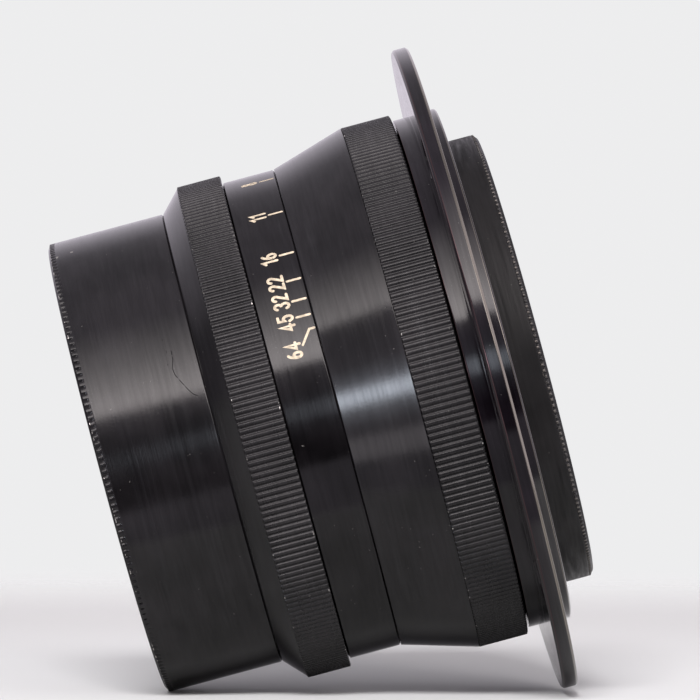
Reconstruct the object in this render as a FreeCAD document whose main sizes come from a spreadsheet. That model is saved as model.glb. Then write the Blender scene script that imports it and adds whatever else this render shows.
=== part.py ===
import FreeCAD, Part
import math
import os

import Sketcher

# Enlarger lens with a working iris diaphragm, in millimetres.
# +Z is the optical axis and points to the front of the lens. The origin is the centre
# of the mounting flange's rear face, the face that rests on the lens board.
# The aperture ring turns about +Z from full aperture (0 degrees) to its smallest stop.

os.makedirs("parts", exist_ok=True)
doc = FreeCAD.newDocument("EnlargerLens")
sheet = doc.addObject("Spreadsheet::Sheet", "Dims")
sheet_rows = [0]
sub_parts = []


class Size:
    """A length or an angle that keeps its number together with its spreadsheet expression."""

    def __init__(self, number, text):
        self.number = number
        self.text = text

    def __add__(self, other):
        return Size(self.number + other.number, f"({self.text} + {other.text})")

    def __sub__(self, other):
        return Size(self.number - other.number, f"({self.text} - {other.text})")

    def __mul__(self, factor):
        return Size(self.number * factor, f"({self.text} * {factor})")

    def __neg__(self):
        return Size(-self.number, f"(0 - {self.text})")


def dimension(alias, number):
    """Store a driving dimension in the sheet and hand it back as a Size."""
    sheet_rows[0] += 1
    row = sheet_rows[0]
    sheet.set(f"A{row}", alias)
    sheet.set(f"B{row}", str(number))
    sheet.setAlias(f"B{row}", alias)
    return Size(number, f"Dims.{alias}")


def along(radius, angle):
    """The x and y of a point at a radius and an angle in degrees about the optical axis."""
    turn = math.radians(angle.number)
    east = Size(radius.number * math.cos(turn), f"({radius.text} * cos({angle.text} * 1 deg))")
    north = Size(radius.number * math.sin(turn), f"({radius.text} * sin({angle.text} * 1 deg))")
    return east, north


def sagitta(curve, rim):
    """How far a spherical surface of radius curve falls back at the rim radius."""
    drop = curve.number - math.sqrt(curve.number ** 2 - rim.number ** 2)
    return Size(drop, f"({curve.text} - sqrt({curve.text} ^ 2 - {rim.text} ^ 2))")


# ---------------------------------------------------------------- driving dimensions

zero = dimension("zeroLine", 0.0)
slip = dimension("runningGap", 0.06)
end_play = dimension("endPlay", 0.05)

# Places along the optical axis, outside of the lens, from the rear to the front.
rear_rim = dimension("rearRim", -6.9)
spigot_rear = dimension("spigotRear", -1.8)
flange_front = dimension("flangeFront", 2.5)
collar_front = dimension("collarFront", 5.0)
grip_rear = dimension("gripRear", 5.4)
grip_front = dimension("gripFront", 13.3)
ring_seat = dimension("ringSeat", 24.9)
knurl_rear = dimension("knurlRear", 33.3)
knurl_front = dimension("knurlFront", 40.3)
ring_top = dimension("ringTop", 43.35)
front_rim = dimension("frontRim", 62.0)

# Radii on the outside of the lens.
rear_radius = dimension("rearRadius", 35.6)
spigot_radius = dimension("spigotRadius", 41.1)
flange_radius = dimension("flangeRadius", 51.5)
collar_radius = dimension("collarRadius", 40.9)
groove_radius = dimension("grooveRadius", 40.1)
grip_core = dimension("gripCoreRadius", 41.6)
body_wide = dimension("bodyWideRadius", 41.85)
body_narrow = dimension("bodyNarrowRadius", 38.4)
scale_radius = dimension("scaleRadius", 38.35)
knurl_core = dimension("knurlCoreRadius", 39.3)
front_radius = dimension("frontRadius", 36.1)
rim_step = dimension("rimStep", 0.3)
rim_band = dimension("rimBand", 0.9)
rim_chamfer = dimension("rimChamfer", 0.35)
edge_break = dimension("edgeBreak", 0.25)
flange_chamfer = dimension("flangeChamfer", 0.35)

# The barrel's inside: the hub that the aperture ring turns on, and its bores.
hub_radius = dimension("hubRadius", 35.8)
hub_bore = dimension("hubBore", 33.2)
mount_thread = dimension("mountThread", 36.0)
rear_bore = dimension("rearBore", 33.0)
rear_seat = dimension("rearSeat", 14.0)
baffle_bore = dimension("baffleBore", 28.5)
iris_floor = dimension("irisFloor", 22.9)
washer_radius = dimension("washerRadius", 37.6)
washer_floor = dimension("washerFloor", 24.1)

# The flange's screw holes.
hole_circle = dimension("holeCircleRadius", 46.3)
hole_radius = dimension("holeRadius", 1.7)
sink_radius = dimension("sinkRadius", 3.3)
sink_depth = dimension("sinkDepth", 1.6)
first_hole = dimension("firstHoleAngle", 45.0)
flange_hole_count = 4

# Cells, recesses and glass. The two halves mirror each other about the stop.
stop_place = dimension("stopPlace", 27.0)
filter_thread = dimension("filterThread", 33.75)
filter_floor = dimension("filterFloor", 58.6)
cell_flange = dimension("cellFlangeRadius", 33.25)
cell_flange_rear = dimension("cellFlangeRear", 57.0)
cell_flange_front = dimension("cellFlangeFront", 57.9)
spigot_end = dimension("frontSpigotEnd", 36.0)
cell_radius = dimension("cellRadius", 31.0)
cell_neck = dimension("cellNeckPlace", 40.5)
nose_radius = dimension("noseRadius", 26.8)
nose_reach = dimension("noseReach", 4.9)
recess_radius = dimension("recessRadius", 30.0)
recess_floor = dimension("recessFloor", 54.5)
outer_glass = dimension("outerGlassRadius", 27.5)
inner_glass = dimension("innerGlassRadius", 23.5)
light_path = dimension("lightPathRadius", 22.0)
outer_vertex = dimension("outerVertexReach", 29.6)
cement_vertex = dimension("cementVertexReach", 21.0)
flint_vertex = dimension("flintVertexReach", 18.0)
meniscus_outer = dimension("meniscusOuterReach", 16.2)
meniscus_inner = dimension("meniscusInnerReach", 12.0)
outer_curve = dimension("outerCurve", 70.0)
cement_curve = dimension("cementCurve", 260.0)
flint_curve = dimension("flintCurve", 150.0)
meniscus_outer_curve = dimension("meniscusOuterCurve", 60.0)
meniscus_inner_curve = dimension("meniscusInnerCurve", 52.0)
seat_lift = dimension("seatLift", 0.02)
retainer_depth = dimension("retainerDepth", 2.4)
retainer_width = dimension("retainerWidth", 1.5)
retainer_slope = dimension("retainerSlope", 0.8)
notch_width = dimension("notchWidth", 2.4)
notch_depth = dimension("notchDepth", 0.8)
bezel_inner = dimension("bezelInner", 27.7)
bezel_lip = dimension("bezelLip", 0.9)
rear_mouth = dimension("rearMouthRadius", 31.2)
rear_mouth_floor = dimension("rearMouthFloor", -2.0)

# The iris.
blade_count = 12
blade_step = dimension("bladeStep", 360.0 / blade_count)
ring_turn = dimension("ringTurn", 78.6)
blade_pivot = dimension("bladePivotRadius", 31.0)
blade_inner = dimension("bladeInnerRadius", 20.3)
blade_outer = dimension("bladeOuterRadius", 32.6)
blade_neck = dimension("bladeNeckRadius", 29.4)
blade_reach = dimension("bladeReach", 120.0)
blade_edge_start = dimension("bladeEdgeStart", 45.0)
blade_edge_end = dimension("bladeEdgeEnd", 85.0)
blade_overhang = dimension("bladeOverhang", 2.0)
blade_thickness = dimension("bladeThickness", 0.05)
blade_tilt = dimension("bladeTilt", 4.0)
tilt_heading = dimension("tiltHeading", -25.0)
smallest_stop = dimension("smallestStopRadius", 1.776)
pin_radius = dimension("pinRadius", 0.5)
slot_half_width = dimension("slotHalfWidth", 0.58)
cam_steps = 12
cam_nudge = 0.001
cam_bend = 0.8
iris_bore = dimension("irisBore", 21.0)
pivot_ring_top = dimension("pivotRingTop", 24.7)
pivot_pin_length = dimension("pivotPinLength", 1.6)
cam_ring_rear = dimension("camRingRear", 29.2)
cam_ring_front = dimension("camRingFront", 31.4)
drive_pin_length = dimension("drivePinLength", 1.9)
iris_cover_front = dimension("irisCoverFront", 33.0)
iris_cover_bore = dimension("irisCoverBore", 27.5)

# The screw that joins the aperture ring to the cam ring through the barrel's slot.
drive_angle = dimension("driveAngle", 135.0)
drive_place = dimension("drivePlace", 30.3)
drive_thread = dimension("driveThreadRadius", 1.25)
drive_tip = dimension("driveTipRadius", 0.8)
drive_tip_end = dimension("driveTipEnd", 32.1)
drive_head_depth = dimension("driveHeadDepth", 0.15)
drive_slot_width = dimension("driveSlotWidth", 0.4)
drive_slot_depth = dimension("driveSlotDepth", 0.6)
slot_margin = dimension("slotMargin", 2.2)
slot_half_height = dimension("slotHalfHeight", 1.1)

doc.recompute()


# ---------------------------------------------------------------- building blocks

def origin_plane(body, role):
    """One of a body's own origin planes, found by its role."""
    return next(plane for plane in body.Origin.OriginFeatures if plane.Role == role)


def bind(thing, path, size):
    """Tie a property to its spreadsheet expression."""
    thing.setExpression(path, size.text)


def bind_place(thing, x, y, z):
    """Tie a primitive's position to the sheet."""
    bind(thing, "Placement.Base.x", x)
    bind(thing, "Placement.Base.y", y)
    bind(thing, "Placement.Base.z", z)


def constrain(sketch, size, *arguments):
    """Add a dimension to a sketch and tie it to the sheet."""
    index = sketch.addConstraint(Sketcher.Constraint(*arguments, size.number))
    bind(sketch, f"Constraints[{index}]", size)


def add_arc(sketch, start, stop, radius, centre):
    """Add the shorter arc from start to stop, and say which of its ends is which."""
    first = math.atan2(start.y - centre[1], start.x - centre[0])
    last = math.atan2(stop.y - centre[1], stop.x - centre[0])
    anticlockwise = math.sin(last - first) > 0
    if not anticlockwise:
        first, last = last, first
    middle = FreeCAD.Vector(centre[0], centre[1], 0)
    circle = Part.Circle(middle, FreeCAD.Vector(0, 0, 1), radius.number)
    index = sketch.addGeometry(Part.ArcOfCircle(circle, first, last))
    constrain(sketch, radius, "Radius", index)
    return (1, 2) if anticlockwise else (2, 1)


def draw_outline(sketch, corners, arcs):
    """Draw a closed outline; arcs maps the number of a side to its (radius, centre)."""
    count = len(corners)
    spots = [FreeCAD.Vector(x.number, y.number, 0) for x, y in corners]
    ends = []
    for side in range(count):
        start = spots[side]
        stop = spots[(side + 1) % count]
        if side in arcs:
            radius, centre = arcs[side]
            ends.append(add_arc(sketch, start, stop, radius, centre))
        else:
            sketch.addGeometry(Part.LineSegment(start, stop))
            ends.append((1, 2))
    for side in range(count):
        following = (side + 1) % count
        joint = ("Coincident", side, ends[side][1], following, ends[following][0])
        sketch.addConstraint(Sketcher.Constraint(*joint))
    for side, (x, y) in enumerate(corners):
        corner = ends[side][0]
        if x is zero:
            sketch.addConstraint(Sketcher.Constraint("PointOnObject", side, corner, -2))
        else:
            constrain(sketch, x, "DistanceX", -1, 1, side, corner)
        if y is zero:
            sketch.addConstraint(Sketcher.Constraint("PointOnObject", side, corner, -1))
        else:
            constrain(sketch, y, "DistanceY", -1, 1, side, corner)


def turned(name, corners, arcs=None):
    """A turned piece: an outline of (radius, place) corners revolved about the optical axis."""
    body = doc.addObject("PartDesign::Body", name)
    sketch = body.newObject("Sketcher::SketchObject", f"{name}_outline")
    sketch.AttachmentSupport = [(origin_plane(body, "XZ_Plane"), "")]
    sketch.MapMode = "FlatFace"
    draw_outline(sketch, corners, arcs or {})
    revolution = body.newObject("PartDesign::Revolution", f"{name}_turning")
    revolution.Profile = sketch
    revolution.ReferenceAxis = (sketch, ["V_Axis"])
    revolution.Angle = 360
    sketch.Visibility = False
    return body


def upright_cylinder(name, radius, length, x, y, z):
    """A cylinder that stands parallel to the optical axis."""
    cylinder = doc.addObject("Part::Cylinder", name)
    bind(cylinder, "Radius", radius)
    bind(cylinder, "Height", length)
    bind_place(cylinder, x, y, z)
    return cylinder


def radial_cylinder(name, radius, inner, outer, angle, z):
    """A cylinder that lies along a radius of the lens, from inner to outer."""
    cylinder = doc.addObject("Part::Cylinder", name)
    bind(cylinder, "Radius", radius)
    bind(cylinder, "Height", outer - inner)
    turn = math.radians(angle.number)
    outward = FreeCAD.Vector(math.cos(turn), math.sin(turn), 0)
    cylinder.Placement.Rotation = FreeCAD.Rotation(FreeCAD.Vector(0, 0, 1), outward)
    x, y = along(inner, angle)
    bind_place(cylinder, x, y, z)
    return cylinder


def fused(name, shapes):
    """Several objects joined into one."""
    fusion = doc.addObject("Part::MultiFuse", name)
    fusion.Shapes = shapes
    return fusion


def cut(name, base, tool):
    """A base object with a tool taken out of it."""
    difference = doc.addObject("Part::Cut", name)
    difference.Base = base
    difference.Tool = tool
    return difference


def keep(thing, name):
    """Mark an object as a finished sub-part with the name of its node."""
    thing.Label = name
    sub_parts.append(thing)
    return thing


# ---------------------------------------------------------------- barrel and flange

def make_main_barrel():
    """The main body: mount thread, wide grip, cone, and the hub for the aperture ring."""
    blank = turned("main_barrel_blank", [
        (rear_bore, spigot_rear),
        (mount_thread, spigot_rear),
        (mount_thread, collar_front),
        (groove_radius, collar_front),
        (groove_radius, grip_rear),
        (grip_core, grip_rear),
        (grip_core, grip_front),
        (body_wide, grip_front),
        (body_narrow, ring_seat),
        (washer_radius, ring_seat),
        (washer_radius, washer_floor),
        (hub_radius, washer_floor),
        (hub_radius, ring_top + end_play),
        (hub_bore, ring_top + end_play),
        (hub_bore, iris_floor),
        (baffle_bore, iris_floor),
        (baffle_bore, rear_seat),
        (rear_bore, rear_seat),
    ])
    slot = doc.addObject("Part::Cylinder", "drive_slot")
    bind(slot, "Radius", hub_radius + end_play)
    bind(slot, "Height", slot_half_height * 2)
    bind(slot, "Angle", ring_turn + slot_margin * 2)
    bind_place(slot, zero, zero, drive_place - slot_half_height)
    bind(slot, "Placement.Rotation.Angle", drive_angle - slot_margin)
    return keep(cut("main_barrel", blank, slot), "main_barrel")


def make_mount_flange():
    """The board flange: rear locating spigot, wide disc with screw holes, front collar."""
    blank = turned("mount_flange_blank", [
        (mount_thread, spigot_rear),
        (spigot_radius - edge_break, spigot_rear),
        (spigot_radius, spigot_rear + edge_break),
        (spigot_radius, zero),
        (flange_radius - flange_chamfer, zero),
        (flange_radius, flange_chamfer),
        (flange_radius, flange_front - flange_chamfer),
        (flange_radius - flange_chamfer, flange_front),
        (collar_radius, flange_front),
        (collar_radius, collar_front),
        (mount_thread, collar_front),
    ])
    tools = []
    for index in range(flange_hole_count):
        angle = Size(first_hole.number + index * 360 / flange_hole_count,
                     f"({first_hole.text} + {index * 360 / flange_hole_count})")
        x, y = along(hole_circle, angle)
        name = f"flange_hole_{index + 1}"
        tools.append(upright_cylinder(name, hole_radius, flange_front * 2, x, y, -flange_front))
        sink = doc.addObject("Part::Cone", f"{name}_sink")
        bind(sink, "Radius1", hole_radius)
        bind(sink, "Radius2", sink_radius)
        bind(sink, "Height", sink_depth)
        bind_place(sink, x, y, flange_front - sink_depth)
        tools.append(sink)
    holes = fused("flange_holes", tools)
    return keep(cut("mount_flange", blank, holes), "mount_flange")


def make_front_barrel():
    """The front barrel: spigot in the hub, smooth outside, filter thread at the rim."""
    shoulder = ring_top + end_play
    body = turned("front_barrel", [
        (cell_radius, spigot_end),
        (hub_bore, spigot_end),
        (hub_bore, shoulder),
        (front_radius - edge_break, shoulder),
        (front_radius, shoulder + edge_break),
        (front_radius, front_rim - rim_band),
        (front_radius - rim_step, front_rim - rim_band + edge_break),
        (front_radius - rim_step, front_rim - rim_chamfer),
        (front_radius - rim_step - rim_chamfer, front_rim),
        (filter_thread + rim_chamfer, front_rim),
        (filter_thread, front_rim - rim_chamfer),
        (filter_thread, filter_floor),
        (cell_flange, filter_floor),
        (cell_flange, cell_flange_rear),
        (cell_radius, cell_flange_rear),
    ])
    return keep(body, "front_barrel")


def make_friction_washer():
    """The thin washer in the barrel's shoulder that gives the aperture ring its drag."""
    body = turned("friction_washer", [
        (hub_radius + slip, washer_floor),
        (washer_radius - slip, washer_floor),
        (washer_radius - slip, ring_seat - end_play),
        (hub_radius + slip, ring_seat - end_play),
    ])
    return keep(body, "friction_washer")


# ---------------------------------------------------------------- aperture ring

def make_aperture_ring():
    """The turning ring: scale cylinder, knurled band and flare, with its screw hole."""
    bore = hub_radius + slip
    blank = turned("aperture_ring_blank", [
        (bore, ring_seat + end_play),
        (scale_radius - edge_break, ring_seat + end_play),
        (scale_radius, ring_seat + end_play + edge_break),
        (scale_radius, knurl_rear),
        (knurl_core, knurl_rear),
        (knurl_core, knurl_front),
        (front_radius, ring_top),
        (bore, ring_top),
    ])
    hole = radial_cylinder("drive_screw_hole", drive_thread, hub_radius - end_play,
                           scale_radius + end_play, drive_angle, drive_place)
    return keep(cut("aperture_ring", blank, hole), "aperture_ring")


def make_drive_screw():
    """The slotted screw whose plain tip carries the cam ring round."""
    head_end = scale_radius - drive_head_depth
    thread = radial_cylinder("drive_screw_thread", drive_thread, hub_radius + slip,
                             head_end, drive_angle, drive_place)
    tip = radial_cylinder("drive_screw_tip", drive_tip, drive_tip_end,
                          hub_radius + slip, drive_angle, drive_place)
    whole = fused("drive_screw_blank", [thread, tip])
    slot = doc.addObject("Part::Box", "drive_screw_slot")
    bind(slot, "Length", drive_slot_depth * 2)
    bind(slot, "Width", drive_slot_width)
    bind(slot, "Height", drive_thread * 4)
    slot.Placement.Rotation = FreeCAD.Rotation(FreeCAD.Vector(0, 0, 1), drive_angle.number)
    x, y = along(head_end - drive_slot_depth, drive_angle)
    bind_place(slot, x, y, drive_place - drive_thread * 2)
    return keep(cut("drive_screw", whole, slot), "drive_screw")


# ---------------------------------------------------------------- iris

def blade_turn():
    """How far a blade turns, in degrees, while the ring turns over its whole range."""
    opening = blade_inner.number - smallest_stop.number
    return math.degrees(2 * math.asin(opening / (2 * blade_pivot.number)))


def turned_point(x, y, degrees):
    """A point turned about the optical axis."""
    turn = math.radians(degrees)
    east = x * math.cos(turn) - y * math.sin(turn)
    north = x * math.sin(turn) + y * math.cos(turn)
    return east, north


def cam_point(share):
    """Where a drive pin is over the cam ring, when the ring has made that share of its turn."""
    reach = math.radians(blade_reach.number)
    arm_x = blade_pivot.number * (math.cos(reach) - 1)
    arm_y = blade_pivot.number * math.sin(reach)
    x, y = turned_point(arm_x, arm_y, share * blade_turn())
    x, y = turned_point(x + blade_pivot.number, y, -share * ring_turn.number)
    return FreeCAD.Vector(x, y, cam_ring_rear.number - end_play.number)


def cam_heading(share):
    """The direction in which a drive pin moves over the cam ring."""
    heading = cam_point(share + cam_nudge) - cam_point(share - cam_nudge)
    heading.normalize()
    return heading


def cam_side(offset):
    """The end points and the curve of a slot's side, at a fixed distance from the pin's path."""
    points = []
    for step in range(cam_steps + 1):
        share = cam_bend * step / cam_steps
        heading = cam_heading(share)
        points.append(cam_point(share) + FreeCAD.Vector(-heading.y, heading.x, 0) * offset)
    curve = Part.BSplineCurve()
    curve.interpolate(points)
    return points[0], points[-1], curve.toShape()


def make_cam_slots():
    """The twelve curved slots of the cam ring, as one cutting shape."""
    width = slot_half_width.number
    left_start, left_end, left = cam_side(width)
    right_start, right_end, right = cam_side(-width)
    outer_tip = cam_point(0) - cam_heading(0) * width
    inner_tip = cam_point(cam_bend) + cam_heading(cam_bend) * width
    outer_end = Part.Arc(left_start, outer_tip, right_start).toShape()
    inner_end = Part.Arc(left_end, inner_tip, right_end).toShape()
    outline = Part.Wire(Part.__sortEdges__([left, inner_end, right, outer_end]))
    rise = FreeCAD.Vector(0, 0, cam_ring_front.number - cam_ring_rear.number + 2 * end_play.number)
    slot = Part.Face(outline).extrude(rise)
    for share in ((1 + cam_bend) / 2, 1):
        slot = slot.fuse(Part.makeCylinder(width, rise.z, cam_point(share)))
    slots = []
    for index in range(blade_count):
        copy = slot.copy()
        turn = index * blade_step.number
        copy.rotate(FreeCAD.Vector(0, 0, 0), FreeCAD.Vector(0, 0, 1), turn)
        slots.append(copy)
    cutter = doc.addObject("Part::Feature", "cam_slots")
    cutter.Shape = Part.makeCompound(slots)
    return cutter


def make_cam_ring():
    """The slotted ring that turns with the aperture ring and swings the blades."""
    blank = turned("cam_ring_blank", [
        (iris_bore, cam_ring_rear),
        (hub_bore - slip, cam_ring_rear),
        (hub_bore - slip, cam_ring_front),
        (iris_bore, cam_ring_front),
    ])
    slotted = cut("cam_ring_slotted", blank, make_cam_slots())
    hole = radial_cylinder("cam_ring_hole", drive_tip + slip, drive_tip_end - end_play,
                           hub_bore + end_play, drive_angle, drive_place)
    return keep(cut("cam_ring", slotted, hole), "cam_ring")


def make_pivot_ring():
    """The fixed ring that holds the blades' pivot pins."""
    blank = turned("pivot_ring_blank", [
        (iris_bore, iris_floor),
        (hub_bore, iris_floor),
        (hub_bore, pivot_ring_top),
        (iris_bore, pivot_ring_top),
    ])
    holes = []
    for index in range(blade_count):
        angle = Size(blade_step.number * index, f"({blade_step.text} * {index})")
        x, y = along(blade_pivot, angle)
        holes.append(upright_cylinder(f"pivot_hole_{index + 1}", pin_radius + slip,
                                      pivot_ring_top - iris_floor + end_play * 2,
                                      x, y, iris_floor - end_play))
    return keep(cut("pivot_ring", blank, fused("pivot_holes", holes)), "pivot_ring")


def make_iris_cover():
    """The threaded ring that keeps the cam ring down on the blades."""
    body = turned("iris_cover", [
        (iris_cover_bore, cam_ring_front + end_play),
        (hub_bore, cam_ring_front + end_play),
        (hub_bore, iris_cover_front),
        (iris_cover_bore, iris_cover_front),
    ])
    return keep(body, "iris_cover")


def leaf_height(angle):
    """The height of the tilted leaf's rear face over a pin at the pivot radius."""
    fall = blade_pivot.number * math.cos(math.radians(angle.number - tilt_heading.number))
    lift = -fall * math.tan(math.radians(blade_tilt.number))
    text = (f"({stop_place.text} - {blade_pivot.text}"
            f" * cos(({angle.text} - {tilt_heading.text}) * 1 deg)"
            f" * tan({blade_tilt.text} * 1 deg))")
    return Size(stop_place.number + lift, text)


def make_blade(number):
    """One iris blade: a thin crescent leaf, tilted to pass its neighbours, with two pins."""
    name = f"blade_{number:02d}"
    heel = -blade_overhang
    toe = blade_reach + blade_overhang
    sketch = doc.addObject("Sketcher::SketchObject", f"{name}_outline")
    corners = [
        along(blade_outer, heel),
        along(blade_outer, toe),
        along(blade_neck, toe),
        along(blade_inner, blade_edge_end),
        along(blade_inner, blade_edge_start),
        along(blade_neck, heel),
    ]
    centre = (0.0, 0.0)
    draw_outline(sketch, corners, {0: (blade_outer, centre), 3: (blade_inner, centre)})
    heading = math.radians(tilt_heading.number)
    hinge_line = FreeCAD.Vector(-math.sin(heading), math.cos(heading), 0)
    sketch.Placement.Rotation = FreeCAD.Rotation(hinge_line, blade_tilt.number)
    bind(sketch, "Placement.Base.z", stop_place)
    bind(sketch, "Placement.Rotation.Angle", blade_tilt)

    leaf = doc.addObject("Part::Extrusion", f"{name}_leaf")
    leaf.Base = sketch
    leaf.DirMode = "Custom"
    leaf.Dir = FreeCAD.Vector(0, 0, 1)
    leaf.Solid = True
    bind(leaf, "LengthFwd", blade_thickness)

    low = leaf_height(zero)
    pivot_pin = upright_cylinder(f"{name}_pivot_pin", pin_radius, pivot_pin_length,
                                 blade_pivot, zero, low - pivot_pin_length + blade_thickness)
    x, y = along(blade_pivot, blade_reach)
    drive_pin = upright_cylinder(f"{name}_drive_pin", pin_radius, drive_pin_length,
                                 x, y, leaf_height(blade_reach))
    blade = fused(name, [leaf, pivot_pin, drive_pin])
    turn = Size(blade_step.number * (number - 1), f"({blade_step.text} * {number - 1})")
    blade.Placement.Rotation = FreeCAD.Rotation(FreeCAD.Vector(0, 0, 1), turn.number)
    bind(blade, "Placement.Rotation.Angle", turn)
    return keep(blade, name)


# ---------------------------------------------------------------- glass and cells

def half_place(side, reach):
    """A place on the front (+1) or rear (-1) half, at a distance from the stop."""
    return stop_place + reach if side > 0 else stop_place - reach


def glass_element(name, side, outer, inner, rim):
    """A lens element between two surfaces, each given as (reach, curve, bow).

    A bow of +1 curves the surface's rim towards the stop, and -1 away from it.
    """
    corners = []
    arcs = {}
    for reach, curve, bow in (outer, inner):
        fall = sagitta(curve, rim)
        rim_reach = reach - fall if bow > 0 else reach + fall
        pair = [(zero, half_place(side, reach)), (rim, half_place(side, rim_reach))]
        centre = (0.0, half_place(side, reach).number - side * bow * curve.number)
        if not corners:
            arcs[0] = (curve, centre)
        else:
            arcs[2] = (curve, centre)
            pair.reverse()
        corners.extend(pair)
    return keep(turned(name, corners, arcs), name)


def make_glass(side, half):
    """One half of the symmetrical lens: a cemented pair and an inner meniscus."""
    outer = (outer_vertex, outer_curve, 1)
    cement = (cement_vertex, cement_curve, -1)
    flint = (flint_vertex, flint_curve, 1)
    glass_element(f"{half}_crown", side, outer, cement, outer_glass)
    glass_element(f"{half}_flint", side, cement, flint, outer_glass)
    meniscus = ((meniscus_outer, meniscus_outer_curve, 1), (meniscus_inner, meniscus_inner_curve, 1))
    glass_element(f"{half}_meniscus", side, *meniscus, inner_glass)


def crown_face(radius):
    """How far from the stop the crown's outer face is at a radius, with its seat's allowance."""
    return outer_vertex - sagitta(outer_curve, radius) + seat_lift


def meniscus_face(radius):
    """How far from the stop the meniscus's outer face is at a radius, with its allowance."""
    return meniscus_outer - sagitta(meniscus_outer_curve, radius) + seat_lift


def make_retainers(side, half):
    """The threaded rings that hold the glass: one outside the pair, one behind the meniscus."""
    back = meniscus_inner - sagitta(meniscus_inner_curve, inner_glass)
    inside = outer_glass - retainer_width
    top = crown_face(outer_glass) + retainer_depth
    outer = [
        (inside, half_place(side, crown_face(inside))),
        (outer_glass, half_place(side, crown_face(outer_glass))),
        (outer_glass, half_place(side, top)),
        (inside + retainer_slope, half_place(side, top)),
    ]
    ring = turned(f"{half}_retainer_blank", outer)
    notch = doc.addObject("Part::Box", f"{half}_retainer_notch")
    bind(notch, "Length", outer_glass * 2)
    bind(notch, "Width", notch_width)
    bind(notch, "Height", notch_depth * 2)
    bind_place(notch, -outer_glass, -(notch_width * 0.5), half_place(side, top) - notch_depth)
    keep(cut(f"{half}_retainer", ring, notch), f"{half}_retainer")
    inner = [
        (light_path, half_place(side, back)),
        (inner_glass, half_place(side, back)),
        (inner_glass, half_place(side, nose_reach)),
        (light_path, half_place(side, nose_reach)),
    ]
    keep(turned(f"{half}_inner_retainer", inner), f"{half}_inner_retainer")


def cell_bore(side):
    """The stepped bore that both cells share, from the outer pocket to the nose."""
    flint = flint_vertex - sagitta(flint_curve, outer_glass)
    return [
        (outer_glass, half_place(side, flint)),
        (light_path, half_place(side, flint)),
        (light_path, half_place(side, meniscus_face(light_path))),
        (inner_glass, half_place(side, meniscus_face(inner_glass))),
        (inner_glass, half_place(side, nose_reach)),
        (nose_radius, half_place(side, nose_reach)),
    ]


def make_front_cell():
    """The sleeve that holds the front glass inside the front barrel."""
    body = turned("front_cell", [
        (recess_radius, cell_flange_front),
        (recess_radius, recess_floor),
        (outer_glass, recess_floor),
        *cell_bore(1),
        (nose_radius, cell_neck),
        (cell_radius, cell_neck),
        (cell_radius, cell_flange_rear),
        (cell_flange, cell_flange_rear),
        (cell_flange, cell_flange_front),
    ])
    return keep(body, "front_cell")


def make_front_bezel():
    """The conical ring round the front glass, screwed down over the front cell."""
    body = turned("front_bezel", [
        (bezel_inner, recess_floor),
        (recess_radius, recess_floor),
        (recess_radius, cell_flange_front),
        (cell_flange, cell_flange_front),
        (cell_flange, filter_floor),
        (recess_radius - bezel_lip, filter_floor),
        (bezel_inner, recess_floor + bezel_lip),
    ])
    return keep(body, "front_bezel")


def make_rear_barrel():
    """The rear cell, whose outer end is the rear barrel with its mouth and edge band."""
    body = turned("rear_barrel", [
        (outer_glass, rear_mouth_floor),
        *cell_bore(-1),
        (nose_radius, rear_seat),
        (rear_bore, rear_seat),
        (rear_bore, spigot_rear),
        (rear_radius, spigot_rear),
        (rear_radius, rear_rim + rim_band),
        (rear_radius - rim_step, rear_rim + rim_band - edge_break),
        (rear_radius - rim_step, rear_rim + rim_chamfer),
        (rear_radius - rim_step - rim_chamfer, rear_rim),
        (rear_mouth, rear_rim),
    ])
    return keep(body, "rear_barrel")


# ---------------------------------------------------------------- build, check and write

def check_document():
    """Stop if any object failed or any sub-part's shape is empty or broken."""
    failed = [item.Name for item in doc.Objects
              if "Invalid" in item.State or "Error" in item.State]
    if failed:
        raise RuntimeError(f"objects that failed: {failed}")
    for part in sub_parts:
        shape = part.Shape
        if shape.isNull() or not shape.isValid() or len(shape.Solids) != 1:
            raise RuntimeError(f"sub-part without one valid solid: {part.Label}")


def write_parts():
    """Write each sub-part to its own file and print its volume."""
    for part in sub_parts:
        part.Shape.exportStep(os.path.join("parts", f"{part.Label}.step"))
        print(f"{part.Label}: {part.Shape.Volume:.1f} cubic millimetres")


make_main_barrel()
make_mount_flange()
make_front_barrel()
make_friction_washer()
make_aperture_ring()
make_drive_screw()
make_cam_ring()
make_pivot_ring()
make_iris_cover()
for blade_number in range(1, blade_count + 1):
    make_blade(blade_number)
make_front_cell()
make_front_bezel()
make_rear_barrel()
for half_sign, half_name in ((1, "front"), (-1, "rear")):
    make_glass(half_sign, half_name)
    make_retainers(half_sign, half_name)

doc.recompute()
check_document()
write_parts()
print(f"blades turn {blade_turn():.3f} degrees while the ring turns {ring_turn.number}")
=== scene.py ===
import math
import random

import bmesh
import bpy
from mathutils import Matrix, Vector


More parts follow.
